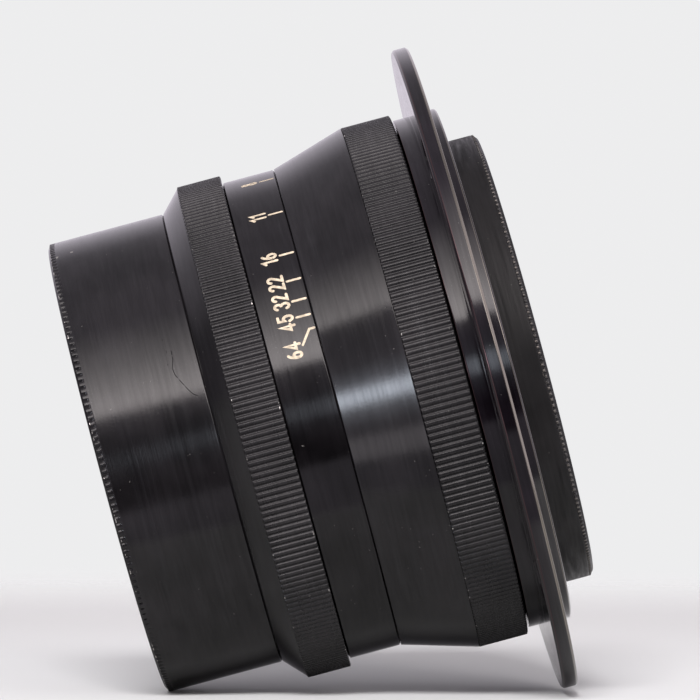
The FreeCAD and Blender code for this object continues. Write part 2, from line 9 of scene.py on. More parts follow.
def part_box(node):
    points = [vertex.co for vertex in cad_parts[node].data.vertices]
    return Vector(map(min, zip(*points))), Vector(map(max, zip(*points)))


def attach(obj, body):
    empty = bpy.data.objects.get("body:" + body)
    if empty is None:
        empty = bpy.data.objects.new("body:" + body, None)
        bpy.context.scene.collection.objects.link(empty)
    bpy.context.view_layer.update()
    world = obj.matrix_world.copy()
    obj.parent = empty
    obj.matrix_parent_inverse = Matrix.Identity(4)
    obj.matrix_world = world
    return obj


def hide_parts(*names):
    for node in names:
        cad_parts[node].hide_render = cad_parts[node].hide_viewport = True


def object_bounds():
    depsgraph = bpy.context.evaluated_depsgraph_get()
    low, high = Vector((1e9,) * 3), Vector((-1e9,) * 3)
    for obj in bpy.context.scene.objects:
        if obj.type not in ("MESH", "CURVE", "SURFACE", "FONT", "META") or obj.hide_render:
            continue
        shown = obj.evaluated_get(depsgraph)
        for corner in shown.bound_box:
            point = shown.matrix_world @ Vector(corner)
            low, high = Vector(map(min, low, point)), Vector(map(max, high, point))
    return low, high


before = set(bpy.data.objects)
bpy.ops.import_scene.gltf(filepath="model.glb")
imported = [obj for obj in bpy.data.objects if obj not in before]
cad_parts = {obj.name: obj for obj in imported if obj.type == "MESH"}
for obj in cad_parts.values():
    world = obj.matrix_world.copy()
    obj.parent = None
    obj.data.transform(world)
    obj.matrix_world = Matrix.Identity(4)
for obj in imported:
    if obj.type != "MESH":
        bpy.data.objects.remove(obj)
cad_low, cad_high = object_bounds()
random.seed(7)

# Meshes are worked out in mm and in degrees about +Z, and spot() turns them into metres. Materials,
# the camera and the light are in metres.
MM = 0.001
SEGMENTS = 360      # steps round a turned piece
CORNER = 0.035      # radius of an ordinary turned corner
SUPPORT = 0.1       # from a rounded corner to the points that hold its neighbours flat
FACING = -90.0      # the side that faces the camera
SINK = 0.25         # depth of a toothed band's inner side below its roots
RIM_FLUTES, RING_TEETH, GRIP_TEETH, REAR_BEADS = 211, 248, 260, 244
KNURL_RUN_IN = 0.12
UNEVEN = 0.04       # most that one tooth falls short of the next, as a share of its height


# ---------------------------------------------------------------- meshes

def add_object(name, mesh):
    """Links a finished mesh into the scene as one piece."""
    piece = bpy.data.objects.new(name, mesh)
    bpy.context.scene.collection.objects.link(piece)
    return piece


def spot(radius, turn, height):
    """A point in metres, from a radius and a height in mm and an angle in degrees."""
    angle = math.radians(turn)
    return Vector((radius * math.cos(angle), radius * math.sin(angle), height)) * MM


def faced(angle):
    """The angle about +Z of a place this many degrees below the side that faces the camera."""
    return FACING - angle


def seam_edges(name):
    """The edges in which a CAD node's mesh meets the half plane of +X and Z."""
    mesh = bmesh.new()
    mesh.from_mesh(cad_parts[name].data)
    bmesh.ops.remove_doubles(mesh, verts=mesh.verts, dist=1e-6)
    everything = mesh.verts[:] + mesh.edges[:] + mesh.faces[:]
    bmesh.ops.bisect_plane(
        mesh, geom=everything, dist=1e-6, plane_co=(0, 0, 0), plane_no=(0, 1, 0),
        clear_inner=True, clear_outer=True,
    )
    pairs = []
    for edge in mesh.edges:
        ends = [(round(v.co.x / MM, 3), round(v.co.z / MM, 3)) for v in edge.verts]
        if ends[0] != ends[1] and min(ends[0][0], ends[1][0]) > 0:
            pairs.append(ends)
    mesh.free()
    return pairs


def outline(name):
    """A turned CAD node's own outline, as (radius, height) corners in mm, in order."""
    pairs = seam_edges(name)
    path = list(pairs.pop(0))
    while pairs:
        following = next((p for p in pairs if path[-1] in p), None)
        if following is None:
            break
        pairs.remove(following)
        path.append(following[0] if following[1] == path[-1] else following[1])
    if path[0] == path[-1]:
        path.pop()
    return without_straights(path)


def without_straights(path, tolerance=0.004):
    """Leaves out the points that lie on a straight run between their neighbours."""
    kept = []
    for i, point in enumerate(path):
        before = Vector(kept[-1] if kept else path[i - 1])
        after = Vector(path[(i + 1) % len(path)])
        here = Vector(point)
        run = after - before
        off = abs(run.x * (here - before).y - run.y * (here - before).x)
        if run.length == 0 or off / run.length > tolerance:
            kept.append(point)
    return kept


def rounded(path, corner=CORNER):
    """Rounds an outline's corners into (radius, height, edge) points. Edge is 1 on convex ones."""
    area = sum(
        path[i - 1][0] * point[1] - point[0] * path[i - 1][1]
        for i, point in enumerate(path)
    )
    points = []
    for i, point in enumerate(path):
        here = Vector(point)
        before = Vector(path[i - 1]) - here
        after = Vector(path[(i + 1) % len(path)]) - here
        cross = before.y * after.x - before.x * after.y
        edge = 1.0 if cross * area > 0 else 0.0
        cut = min(corner, 0.3 * before.length, 0.3 * after.length)
        lead = min(SUPPORT, 0.15 * before.length)
        trail = min(SUPPORT, 0.15 * after.length)
        start = here + before.normalized() * cut
        end = here + after.normalized() * cut
        middle = (start + end) * 0.25 + here * 0.5
        points.append((*(start + before.normalized() * lead), 0.0))
        points.append((*start, edge * 0.5))
        points.append((*middle, edge))
        points.append((*end, edge * 0.5))
        points.append((*(end + after.normalized() * trail), 0.0))
    return points


def lathe(name, points):
    """Turns a closed outline of (radius, height, edge) points about the optical axis."""
    count = len(points)
    verts = []
    for step in range(SEGMENTS):
        turn = 360.0 * step / SEGMENTS
        verts += [spot(radius, turn, height) for radius, height, edge in points]
    faces = []
    for step in range(SEGMENTS):
        here, there = step * count, (step + 1) % SEGMENTS * count
        for i in range(count):
            j = (i + 1) % count
            faces.append((here + i, here + j, there + j, there + i))
    edges = [edge for radius, height, edge in points] * SEGMENTS
    return shape(name, verts, faces, edges)


def shape(name, verts, faces, edges=None, sharp=None):
    """A smooth-shaded piece from points and faces, with its edge wear on the points."""
    mesh = bpy.data.meshes.new(name)
    mesh.from_pydata(verts, [], faces)
    built = bmesh.new()
    built.from_mesh(mesh)
    bmesh.ops.recalc_face_normals(built, faces=built.faces)
    built.to_mesh(mesh)
    built.free()
    smooth(mesh, sharp)
    wear = mesh.attributes.new("edge", "FLOAT", "POINT")
    wear.data.foreach_set("value", edges or [0.0] * len(verts))
    return add_object(name, mesh)


def smooth(mesh, sharp=None):
    """Smooth shading, but for edges sharper than this many degrees."""
    mesh.polygons.foreach_set("use_smooth", [True] * len(mesh.polygons))
    if sharp is not None:
        mesh.set_sharp_from_angle(angle=math.radians(sharp))


def carve(piece, cutters, sharp=35):
    """Cuts the cutters out of a piece and takes them away."""
    for cutter in cutters:
        cut = piece.modifiers.new("cut", "BOOLEAN")
        cut.operation = "DIFFERENCE"
        cut.solver = "EXACT"
        cut.object = cutter
    graph = bpy.context.evaluated_depsgraph_get()
    mesh = bpy.data.meshes.new_from_object(piece.evaluated_get(graph))
    piece.modifiers.clear()
    piece.data = mesh
    smooth(mesh, sharp)
    for cutter in cutters:
        bpy.data.objects.remove(cutter)


def spindle(name, axis_point, direction, rings, segments=40):
    """A closed turned plug along any line, from (distance, radius) rings."""
    way = Vector(direction).normalized()
    side = way.orthogonal().normalized()
    other = way.cross(side)
    verts = []
    for distance, radius in rings:
        for step in range(segments):
            angle = math.tau * step / segments
            round_it = side * math.cos(angle) + other * math.sin(angle)
            verts.append(Vector(axis_point) + (way * distance + round_it * radius) * MM)
    faces = [tuple(range(segments))]
    for ring in range(len(rings) - 1):
        for step in range(segments):
            j = (step + 1) % segments
            low, high = ring * segments, (ring + 1) * segments
            faces.append((low + step, low + j, high + j, high + step))
    last = (len(rings) - 1) * segments
    faces.append(tuple(last + i for i in range(segments)))
    return shape(name, verts, faces)


def arc_block(name, inner, outer, low, high, start, sweep, steps=60):
    """A closed block that follows an arc about the optical axis."""
    verts = []
    for step in range(steps + 1):
        turn = start + sweep * step / steps
        verts += [spot(inner, turn, low), spot(outer, turn, low)]
        verts += [spot(outer, turn, high), spot(inner, turn, high)]
    faces = [(0, 1, 2, 3), tuple(4 * steps + i for i in range(4))]
    for step in range(steps):
        for i in range(4):
            j = (i + 1) % 4
            faces.append((4 * step + i, 4 * step + j, 4 * step + 4 + j, 4 * step + 4 + i))
    return shape(name, verts, faces)


# One tooth over its pitch: (share of the pitch, share of the height)
KNURL = ((0.02, 0.0), (0.11, 0.4), (0.18, 0.8), (0.28, 0.96), (0.42, 1.0),
         (0.56, 0.96), (0.66, 0.8), (0.73, 0.4), (0.82, 0.0))
BEADS = ((0.0, 0.0), (0.1, 0.6), (0.25, 0.95), (0.4, 0.95), (0.55, 0.6), (0.65, 0.0), (0.82, 0.0))
FLUTES = ((0.0, 1.0), (0.28, 1.0), (0.4, 0.88), (0.52, 0.45), (0.64, 0.0), (0.76, 0.45),
          (0.88, 0.88))


def band(name, count, tooth, rows, radius_at, sink_radius):
    """A toothed band from rows of (height, rise, edge). Its inner side is sunk into the piece."""
    growth = [1.0 - UNEVEN * random.random() for _ in range(count)]
    verts, edges = [], []
    for height, rise, edge in rows:
        for index in range(count):
            for share, lift in tooth:
                turn = 360.0 * (index + share) / count
                verts.append(spot(radius_at(lift, rise, growth[index]), turn, height))
                edges.append(edge * lift)
    for height in (rows[-1][0], rows[0][0]):
        for index in range(count):
            for share, lift in tooth:
                verts.append(spot(sink_radius, 360.0 * (index + share) / count, height))
                edges.append(0.0)
    columns = count * len(tooth)
    rings = len(rows) + 2
    faces = []
    for ring in range(rings):
        below, above = ring * columns, (ring + 1) % rings * columns
        for i in range(columns):
            j = (i + 1) % columns
            faces.append((below + i, below + j, above + j, above + i))
    return shape(name, verts, faces, edges, sharp=50)


def teeth(name, count, root, tip, low, high, run_in, tooth=KNURL, crest=0.0):
    """A band of straight teeth that stand on a cylinder, with this much wear along their crests."""
    near = min(0.3, (high - low) * 0.2)
    rows = [(low, 0.0, 0.0), (low + run_in, 1.0, 1.0), (low + run_in + near, 1.0, crest),
            (high - run_in - near, 1.0, crest), (high - run_in, 1.0, 1.0), (high, 0.0, 0.0)]

    def radius_at(lift, rise, growth):
        return root + (tip - root) * lift * rise * growth

    return band(name, count, tooth, rows, radius_at, root - SINK)


def flutes(name, count, root, tip, low, high, run_out):
    """A band of flutes cut into a cylinder's end, that run out to its full radius below."""
    rows = [(low, 0.0, 0.0), (low + 0.25 * run_out, 0.5, 0.0), (low + 0.6 * run_out, 0.87, 0.0),
            (low + run_out, 1.0, 0.0), (high - 0.15, 1.0, 0.4), (high, 1.0, 1.0)]

    def radius_at(lift, rise, growth):
        return tip - (tip - root) * (1.0 - lift * growth) * rise

    return band(name, count, FLUTES, rows, radius_at, root - SINK)


def thread(name, root, crest, low, high, pitch):
    """An internal screw thread: one ridge wound along a bore, tapering out at its ends."""
    half_ridge, buried, steps_per_turn = 0.45, 0.1, 180
    steps = int((high - low) / pitch * steps_per_turn)
    verts = []
    for step in range(steps + 1):
        share = step / steps
        fade = min(1.0, share * 8, (1 - share) * 8)
        turn = 360.0 * (high - low) / pitch * share
        height = low + (high - low) * share
        verts.append(spot(root + buried, turn, height - half_ridge * pitch))
        verts.append(spot(root + (crest - root) * fade, turn, height))
        verts.append(spot(root + buried, turn, height + half_ridge * pitch))
    faces = [(0, 1, 2), (3 * steps, 3 * steps + 1, 3 * steps + 2)]
    for step in range(steps):
        for i in range(3):
            j = (i + 1) % 3
            faces.append((3 * step + i, 3 * step + j, 3 * step + 3 + j, 3 * step + 3 + i))
    return shape(name, verts, faces, sharp=40)


# ---------------------------------------------------------------- engraving

def bow(across, up, wide, tall, start, end, steps=14):
    """Points on part of an ellipse, for a stroke of a figure."""
    angles = [math.radians(start + (end - start) * i / steps) for i in range(steps + 1)]
    return [(across + wide * math.cos(angle), up + tall * math.sin(angle)) for angle in angles]


# Single-stroke figures, one unit tall, with the width that each one takes
FIGURES = {
    "1": (0.2, [[(0.0, 0.8), (0.18, 1.0), (0.18, 0.0)]]),
    "2": (0.37, [bow(0.18, 0.78, 0.18, 0.22, 175, -35) + [(0.0, 0.0), (0.38, 0.0)]]),
    "3": (0.37, [bow(0.16, 0.77, 0.19, 0.23, 160, -70) + bow(0.16, 0.27, 0.2, 0.27, 70, -165)]),
    "4": (0.42, [[(0.29, 0.0), (0.29, 1.0), (0.0, 0.28), (0.42, 0.28)]]),
    "5": (0.37, [[(0.35, 1.0), (0.06, 1.0), (0.03, 0.56)] + bow(0.17, 0.32, 0.2, 0.32, 125, -165)]),
    "6": (0.37, [bow(0.38, 0.28, 0.38, 0.72, 112, 178), bow(0.19, 0.29, 0.18, 0.28, 180, -180)]),
    "8": (0.37, [bow(0.18, 0.77, 0.15, 0.23, -90, 270), bow(0.18, 0.27, 0.19, 0.27, -90, 270)]),
    ".": (0.06, [[(0.03, 0.0), (0.03, 0.02)]]),
}


def ribbon(mesh, path, width):
    """Adds one stroke with round ends to a flat mesh."""
    half = width / 2
    path = [Vector(p) for p in path]
    left, right = [], []
    for i, here in enumerate(path):
        ahead = path[min(i + 1, len(path) - 1)] - here
        behind = here - path[max(i - 1, 0)]
        way = (ahead.normalized() + behind.normalized()).normalized()
        side = Vector((-way.y, way.x))
        lean = 1.0
        if ahead.length:
            lean = max(0.5, side.dot(Vector((-ahead.y, ahead.x)).normalized()))
        left.append(here + side * half / lean)
        right.append(here - side * half / lean)
    rungs = list(zip(left, right))
    made = {}

    def face(points):
        """One face on shared points, unless two of its points fall together."""
        corners = []
        for point in points:
            key = (round(point.x, 5), round(point.y, 5))
            if key not in made:
                made[key] = mesh.verts.new((point.x, point.y, 0))
            corners.append(made[key])
        if len(set(corners)) == len(corners):
            mesh.faces.new(corners)

    for (a, b), (c, d) in zip(rungs, rungs[1:]):
        face([a, b, d, c])
    first = (path[1] - path[0]).normalized()
    last = (path[-1] - path[-2]).normalized()
    face([rungs[-1][1], *cap(path[-1], last, half), rungs[-1][0]])
    face([rungs[0][0], *cap(path[0], -first, half), rungs[0][1]])


def cap(centre, way, half, steps=6):
    """The points of a round stroke end, between its two sides."""
    side = Vector((-way.y, way.x))
    angles = [math.pi * i / steps for i in range(1, steps)]
    return [
        centre - side * half * math.cos(angle) + way * half * math.sin(angle)
        for angle in angles
    ]


def engrave(name, strokes, radius_at, width, proud=0.02, sunk=0.08):
    """Wraps strokes on to a turned surface. A stroke is (angle of its origin, path, share of the
    width), and its path is in mm round the surface and mm along the axis."""
    mesh = bmesh.new()
    for anchor, path, share in strokes:
        flat = bmesh.new()
        ribbon(flat, path, width * share)
        skirt = bmesh.ops.extrude_face_region(flat, geom=flat.faces[:])
        for vert in [v for v in skirt["geom"] if isinstance(v, bmesh.types.BMVert)]:
            vert.co.z = 1.0
        for vert in flat.verts:
            radius = radius_at(vert.co.y)
            turn = anchor + math.degrees(vert.co.x / radius)
            lift = proud if vert.co.z == 0 else -sunk
            vert.co = spot(radius + lift, turn, vert.co.y)
        part = bpy.data.meshes.new("stroke")
        flat.to_mesh(part)
        flat.free()
        mesh.from_mesh(part)
        bpy.data.meshes.remove(part)
    bmesh.ops.recalc_face_normals(mesh, faces=mesh.faces)
    made = bpy.data.meshes.new(name)
    mesh.to_mesh(made)
    mesh.free()
    smooth(made, 40)
    return add_object(name, made)


def figure_strokes(text, anchor, centre, foot, tall, gap=0.27):
    """The strokes of a number, centred at an offset round the ring, its foot at a height in mm."""
    widths = [FIGURES[c][0] for c in text]
    length = sum(widths) + gap * (len(text) - 1)
    start = centre - length * tall / 2
    strokes = []
    for letter, wide in zip(text, widths):
        for path in FIGURES[letter][1]:
            placed = [(start + x * tall, foot + y * tall) for x, y in path]
            strokes.append((anchor, placed, 1.0))
        start += (wide + gap) * tall
    return strokes


# ---------------------------------------------------------------- materials

def node(tree, kind, settings=None, **inputs):
    """Adds a shader node. Its inputs are numbers, colours or other nodes' sockets."""
    made = tree.nodes.new(kind)
    for key, value in (settings or {}).items():
        setattr(made, key, value)
    for key, value in inputs.items():
        numbered = key[1:].isdigit()
        socket = made.inputs[int(key[1:])] if numbered else made.inputs[key.replace("_", " ")]
        if isinstance(value, bpy.types.NodeSocket):
            tree.links.new(value, socket)
        else:
            socket.default_value = value
    return made


def maths(tree, operation, first, second=0.0, clamp=False):
    """One arithmetic step between two sockets or numbers."""
    settings = {"operation": operation, "use_clamp": clamp}
    return node(tree, "ShaderNodeMath", settings, _0=first, _1=second).outputs[0]


def plus(tree, first, second, clamp=False):
    """Adds two values."""
    return maths(tree, "ADD", first, second, clamp)


def minus(tree, first, second):
    """Takes the second value from the first."""
    return maths(tree, "SUBTRACT", first, second)


def times(tree, first, second, clamp=False):
    """Multiplies two values."""
    return maths(tree, "MULTIPLY", first, second, clamp)


def larger(tree, first, second):
    """The larger of two values."""
    return maths(tree, "MAXIMUM", first, second)


def apart(tree, value, centre):
    """How far a value is from a centre, either way."""
    return maths(tree, "ABSOLUTE", minus(tree, value, centre))


def noise(tree, vector, scale, detail=3.0, rough=0.5):
    """A noise value at this many cycles per metre."""
    made = node(tree, "ShaderNodeTexNoise", None, Vector=vector, Scale=scale, Detail=detail,
                Roughness=rough)
    return made.outputs["Fac"]


def spread(tree, value, low, high, to_low=0.0, to_high=1.0):
    """Maps a value's range on to another one, without going past its ends."""
    made = node(tree, "ShaderNodeMapRange", {"interpolation_type": "SMOOTHSTEP"},
                _0=value, _1=low, _2=high, _3=to_low, _4=to_high)
    return made.outputs[0]


def blended(tree, factor, first, second):
    """Mixes two colours."""
    made = node(tree, "ShaderNodeMix", {"data_type": "RGBA"}, _0=factor, _6=first, _7=second)
    return made.outputs[2]


def opaque(colour, share=1.0):
    """A colour with its alpha, as bright as this share of it."""
    return tuple(c * share for c in colour) + (1.0,)


def new_material(name):
    """A material with its node tree, its shader and its object coordinates."""
    material = bpy.data.materials.new(name)
    material.use_nodes = True
    tree = material.node_tree
    place = node(tree, "ShaderNodeTexCoord").outputs["Object"]
    return material, tree, tree.nodes["Principled BSDF"], place


def turned_vector(tree, place):
    """(radius, height, a little of the angle), so that noise follows tool marks; and the height."""
    x, y, z = node(tree, "ShaderNodeSeparateXYZ", None, Vector=place).outputs
    radius = maths(tree, "SQRT", plus(tree, times(tree, x, x), times(tree, y, y)))
    swept = times(tree, maths(tree, "SINE", maths(tree, "ARCTAN2", y, x)), 0.004)
    vector = node(tree, "ShaderNodeCombineXYZ", None, X=radius, Y=z, Z=swept).outputs[0]
    return vector, z


# Noise in the metal finishes, in cycles per metre. The first four follow the tool marks.
TOOL_MARKS, HAIRLINES, STREAKS, SMEARS = 5200.0, 1900.0, 1400.0, 620.0
CLOUDS, SMEARED_PLACES, GRAIN, WORN_PATCHES = 90.0, 70.0, 2600.0, 420.0
RUBBED_PATCHES, RAGGED, DUST = 900.0, 1500.0, 1900.0

# How strongly they show: as shares of the roughness, and then of the metal's shine and the colour
MARKED_GLOSS, CLOUDED_GLOSS, STREAKED_GLOSS = 0.25, 0.35, 1.3
HAIRLINE_SHINE, SMEAR_SHARE, DUST_SHARE = 0.2, 0.035, 0.4
SMEAR_GREY = (0.13, 0.13, 0.145)
DUST_GREY = (0.2, 0.19, 0.18)
WORN_METAL = (0.35, 0.33, 0.3)
BUMP_HEIGHT = 0.00003

# Heights in metres between which the flange's trim changes from its rear to its front colour
TRIM_CHANGE = (0.001, 0.0015)


def metal_finish(name, colour, rough, shine=0.56, bump=0.1, worn=WORN_METAL, wear=0.0,
                 rub=0.0, trim=None, chips=()):
    """Blackened turned metal: tool marks, cloudy gloss, dust, and bare metal on edges and chips.

    Wear bares patches, mostly on edges, in the worn colour. Rub bares a share of the edges
    themselves in the trim colours, (low, high). A chip is (place, size) in metres."""
    material, tree, shader, place = new_material(name)
    shader.inputs["Specular IOR Level"].default_value = shine
    turned, z = turned_vector(tree, place)
    edge = node(tree, "ShaderNodeAttribute", {"attribute_name": "edge"}).outputs["Fac"]
    lines = noise(tree, turned, TOOL_MARKS, 4.0, 0.65)
    cloud = noise(tree, place, CLOUDS, 3.0, 0.55)
    streaks = noise(tree, turned, STREAKS, 3.0, 0.6)

    base = blended(tree, spread(tree, cloud, 0.32, 0.68), opaque(colour, 0.55), opaque(colour, 1.5))
    smears = spread(tree, noise(tree, turned, SMEARS, 5.0, 0.7), 0.45, 0.75)
    smeared = spread(tree, noise(tree, place, SMEARED_PLACES, 2.0), 0.35, 0.65)
    smears = times(tree, times(tree, smears, smeared), SMEAR_SHARE)
    base = blended(tree, smears, base, opaque(SMEAR_GREY))

    patch = plus(tree, noise(tree, place, WORN_PATCHES, 4.0, 0.6), times(tree, edge, wear))
    bare = spread(tree, patch, 0.86, 0.94)
    for centre, size in chips:
        offset = node(tree, "ShaderNodeVectorMath", {"operation": "DISTANCE"}, _0=place, _1=centre)
        jitter = times(tree, minus(tree, noise(tree, place, RAGGED), 0.5), size)
        ragged = plus(tree, offset.outputs["Value"], jitter)
        bare = larger(tree, bare, spread(tree, ragged, size, size * 0.6))
    base = blended(tree, bare, base, opaque(worn))
    hairlines = noise(tree, turned, HAIRLINES, 4.0, 0.7)
    hairlines = spread(tree, hairlines, 0.3, 0.7, HAIRLINE_SHINE, 0.0)
    metallic = larger(tree, times(tree, bare, 0.85), hairlines)

    if rub:
        gate = 0.72 - 0.5 * rub
        rubbed = spread(tree, noise(tree, place, RUBBED_PATCHES, 2.0), gate, gate + 0.05)
        rubbed = times(tree, rubbed, spread(tree, edge, 0.5, 0.85))
        edging = blended(tree, spread(tree, z, *TRIM_CHANGE), opaque(trim[0]), opaque(trim[1]))
        base = blended(tree, rubbed, base, edging)
        metallic = larger(tree, metallic, times(tree, rubbed, 0.9))

    specks = spread(tree, noise(tree, place, DUST, 1.0, 0.4), 0.78, 0.85)
    base = blended(tree, times(tree, specks, DUST_SHARE), base, opaque(DUST_GREY))

    gloss = rough
    for value, share in ((lines, MARKED_GLOSS), (cloud, CLOUDED_GLOSS), (streaks, STREAKED_GLOSS)):
        gloss = plus(tree, gloss, times(tree, minus(tree, value, 0.5), share * rough))
    gloss = plus(tree, gloss, times(tree, bare, 0.15), clamp=True)

    height = plus(tree, lines, times(tree, noise(tree, place, GRAIN, 2.0, 0.6), 0.5))
    raised = node(tree, "ShaderNodeBump", None, Strength=bump, Distance=BUMP_HEIGHT, Height=height)
    tree.links.new(base, shader.inputs["Base Color"])
    tree.links.new(metallic, shader.inputs["Metallic"])
    tree.links.new(gloss, shader.inputs["Roughness"])
    tree.links.new(raised.outputs[0], shader.inputs["Normal"])
    return material


def paint_finish(name, colour):
    """The cream filling of the engraving, a little uneven and dirty."""
    material, tree, shader, place = new_material(name)
    uneven = spread(tree, noise(tree, place, 1400.0, 3.0), 0.3, 0.7)
    gloss = spread(tree, noise(tree, place, 900.0), 0.3, 0.7, 0.45, 0.7)
    raised = node(tree, "ShaderNodeBump", None, Strength=0.4, Distance=BUMP_HEIGHT, Height=uneven)
    base = blended(tree, uneven, opaque(colour, 0.6), opaque(colour))
    tree.links.new(base, shader.inputs["Base Color"])
    tree.links.new(gloss, shader.inputs["Roughness"])
    tree.links.new(raised.outputs[0], shader.inputs["Normal"])
    return material


def glass_finish(name, tint):
    """Coated optical glass with a little dust on it."""
    material, tree, shader, place = new_material(name)
    dust = spread(tree, noise(tree, place, 1300.0, 2.0), 0.7, 0.82)
    base = blended(tree, dust, opaque((0.985, 0.99, 0.98)), opaque((0.86, 0.86, 0.84)))
    tree.links.new(base, shader.inputs["Base Color"])
    tree.links.new(times(tree, dust, 0.06), shader.inputs["Roughness"])
    shader.inputs["Transmission Weight"].default_value = 1.0
    shader.inputs["IOR"].default_value = 1.52
    shader.inputs["Specular Tint"].default_value = opaque(tint)
    return material


# Chips on the front tube: (place, size in metres)
CHIPS = ((spot(36.1, faced(-69.1), 58.3), 0.0003), (spot(36.1, faced(-68.0), 61.0), 0.0006))
BARE_BRASS = (0.19, 0.172, 0.148)
BARE_COPPER = (0.09, 0.05, 0.052)
DULL_ALLOY = (0.15, 0.137, 0.125)
BARE_ALLOY = (0.75, 0.71, 0.68)
DEEP_BLACK = (0.0065, 0.006, 0.0062)

FINISHES = {
    "gloss_black": metal_finish(
        "gloss_black", (0.0052, 0.0046, 0.0052), 0.135, bump=0.18, wear=0.12, chips=CHIPS),
    "satin_black": metal_finish(
        "satin_black", (0.0036, 0.0031, 0.0036), 0.115, bump=0.12, wear=0.12),
    "knurl_black": metal_finish(
        "knurl_black", (0.008, 0.0072, 0.0078), 0.3, bump=0.08, wear=0.2,
        rub=0.14, trim=(BARE_ALLOY, BARE_ALLOY)),
    "flange_black": metal_finish(
        "flange_black", (0.0038, 0.0027, 0.004), 0.1, wear=0.15, worn=(0.3, 0.16, 0.11),
        rub=1.0, trim=(BARE_BRASS, BARE_COPPER)),
    "matte_black": metal_finish(
        "matte_black", DEEP_BLACK, 0.5, 0.29, bump=0.3, wear=0.2, worn=(0.3, 0.25, 0.2)),
    "bead_black": metal_finish(
        "bead_black", DEEP_BLACK, 0.4, bump=0.3, wear=0.2, rub=0.6, trim=(DULL_ALLOY, DULL_ALLOY)),
    "rim_black": metal_finish(
        "rim_black", (0.0058, 0.0052, 0.0058), 0.2, bump=0.2, wear=0.15,
        rub=0.3, trim=(BARE_ALLOY, BARE_ALLOY)),
    "inner_black": metal_finish("inner_black", (0.012, 0.012, 0.012), 0.55, bump=0.3),
    "blade_steel": metal_finish("blade_steel", (0.13, 0.132, 0.14), 0.32, bump=0.05, wear=0.2),
    "screw_steel": metal_finish("screw_steel", (0.35, 0.35, 0.36), 0.3, wear=0.1),
    "washer_bronze": metal_finish("washer_bronze", (0.35, 0.22, 0.1), 0.35),
    "coated_glass": glass_finish("coated_glass", (0.62, 0.48, 0.85)),
}
CREAM = paint_finish("scale_cream", (0.7, 0.58, 0.44))


# ---------------------------------------------------------------- pieces

def finish_piece(piece, body, slot, finish=None, stands_for=()):
    """Gives a piece its finish, which is the slot's own unless another is given, puts it on its CAD
    body and hides the CAD nodes that it stands for.
    """
    piece.data.materials.clear()
    piece.data.materials.append(finish or FINISHES[slot])
    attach(piece, body)
    if stands_for:
        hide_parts(*stands_for)


def reach(name):
    """A CAD node's outer radius and its lowest and highest height, in mm."""
    low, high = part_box(name)
    return high.x / MM, low.z / MM, high.z / MM


def ridged(path, start, end, pitch, depth):
    """Replaces an outline's straight run between two of its corners by fine light-trap steps."""
    made = []
    for i, point in enumerate(path):
        made.append(point)
        following = path[(i + 1) % len(path)]
        if {i, (i + 1) % len(path)} != {start, end}:
            continue
        run = Vector(following) - Vector(point)
        side = Vector((-run.y, run.x)).normalized() * depth
        if side.x < 0:
            side = -side
        steps = max(2, int(run.length / pitch))
        for step in range(1, steps):
            here = Vector(point) + run * (step / steps)
            made.append(tuple(here + (side if step % 2 else Vector((0, 0)))))
    return made


def nearest(path, radius, height):
    """The index of an outline's corner nearest to a place."""
    return min(range(len(path)), key=lambda i: math.hypot(path[i][0] - radius, path[i][1] - height))


# A hair-fine scratch on the front tube: (degrees below the camera's side, height)
SCRATCH = ((-24.4, 47.05), (-22.1, 47.15), (-20.0, 47.55), (-18.2, 47.4), (-15.9, 46.7),
           (-13.7, 46.0), (-12.5, 45.5), (-11.8, 44.9))
RUB_MARK = ((-28.0, 47.95), (-24.5, 47.8), (-21.0, 48.1))


def build_front():
    """The smooth front tube, its serrated rim and filter thread, and the ring round the glass."""
    radius, low, high = reach("front_barrel")
    rim_inset, flute_depth = 0.3, 0.2
    rim_foot, flute_foot, flute_top = high - 1.15, high - 1.16, high - 0.34
    path = outline("front_barrel")
    wide = nearest(path, radius, high - 0.9)
    stepped = nearest(path, radius - rim_inset, high - 0.65)
    path[wide] = (radius, rim_foot)
    path[stepped] = (radius - rim_inset, high - 1.1)
    tube = lathe("front_tube", rounded(path))
    finish_piece(tube, "barrel", "gloss_black", stands_for=["front_barrel"])
    root = radius - flute_depth
    rim = flutes("front_rim_teeth", RIM_FLUTES, root, radius, flute_foot, flute_top, 0.45)
    finish_piece(rim, "barrel", "gloss_black", FINISHES["rim_black"])
    bore, crest, pitch = 33.75, 33.4, 0.75
    ridge = thread("filter_thread", bore, crest, high - 3.0, high - 0.55, pitch)
    finish_piece(ridge, "barrel", "matte_black")
    lines = [
        (0.0, [(math.radians(faced(below)) * radius, height) for below, height in line], share)
        for line, share in ((SCRATCH, 1.0), (RUB_MARK, 0.6))
    ]
    scratch = engrave("front_scratch", lines, lambda height: radius, 0.13, proud=0.006)
    finish_piece(scratch, "barrel", "gloss_black", FINISHES["matte_black"])
    path = outline("front_bezel")
    outer = nearest(path, 29.1, reach("front_bezel")[2])
    inner = nearest(path, 27.7, 55.4)
    ring = lathe("bezel_ring", rounded(ridged(path, outer, inner, 0.3, 0.12), 0.05))
    finish_piece(ring, "barrel", "matte_black", stands_for=["front_bezel"])


# The aperture ring's plain cylinder, which carries the scale
SCALE_RADIUS = 38.35


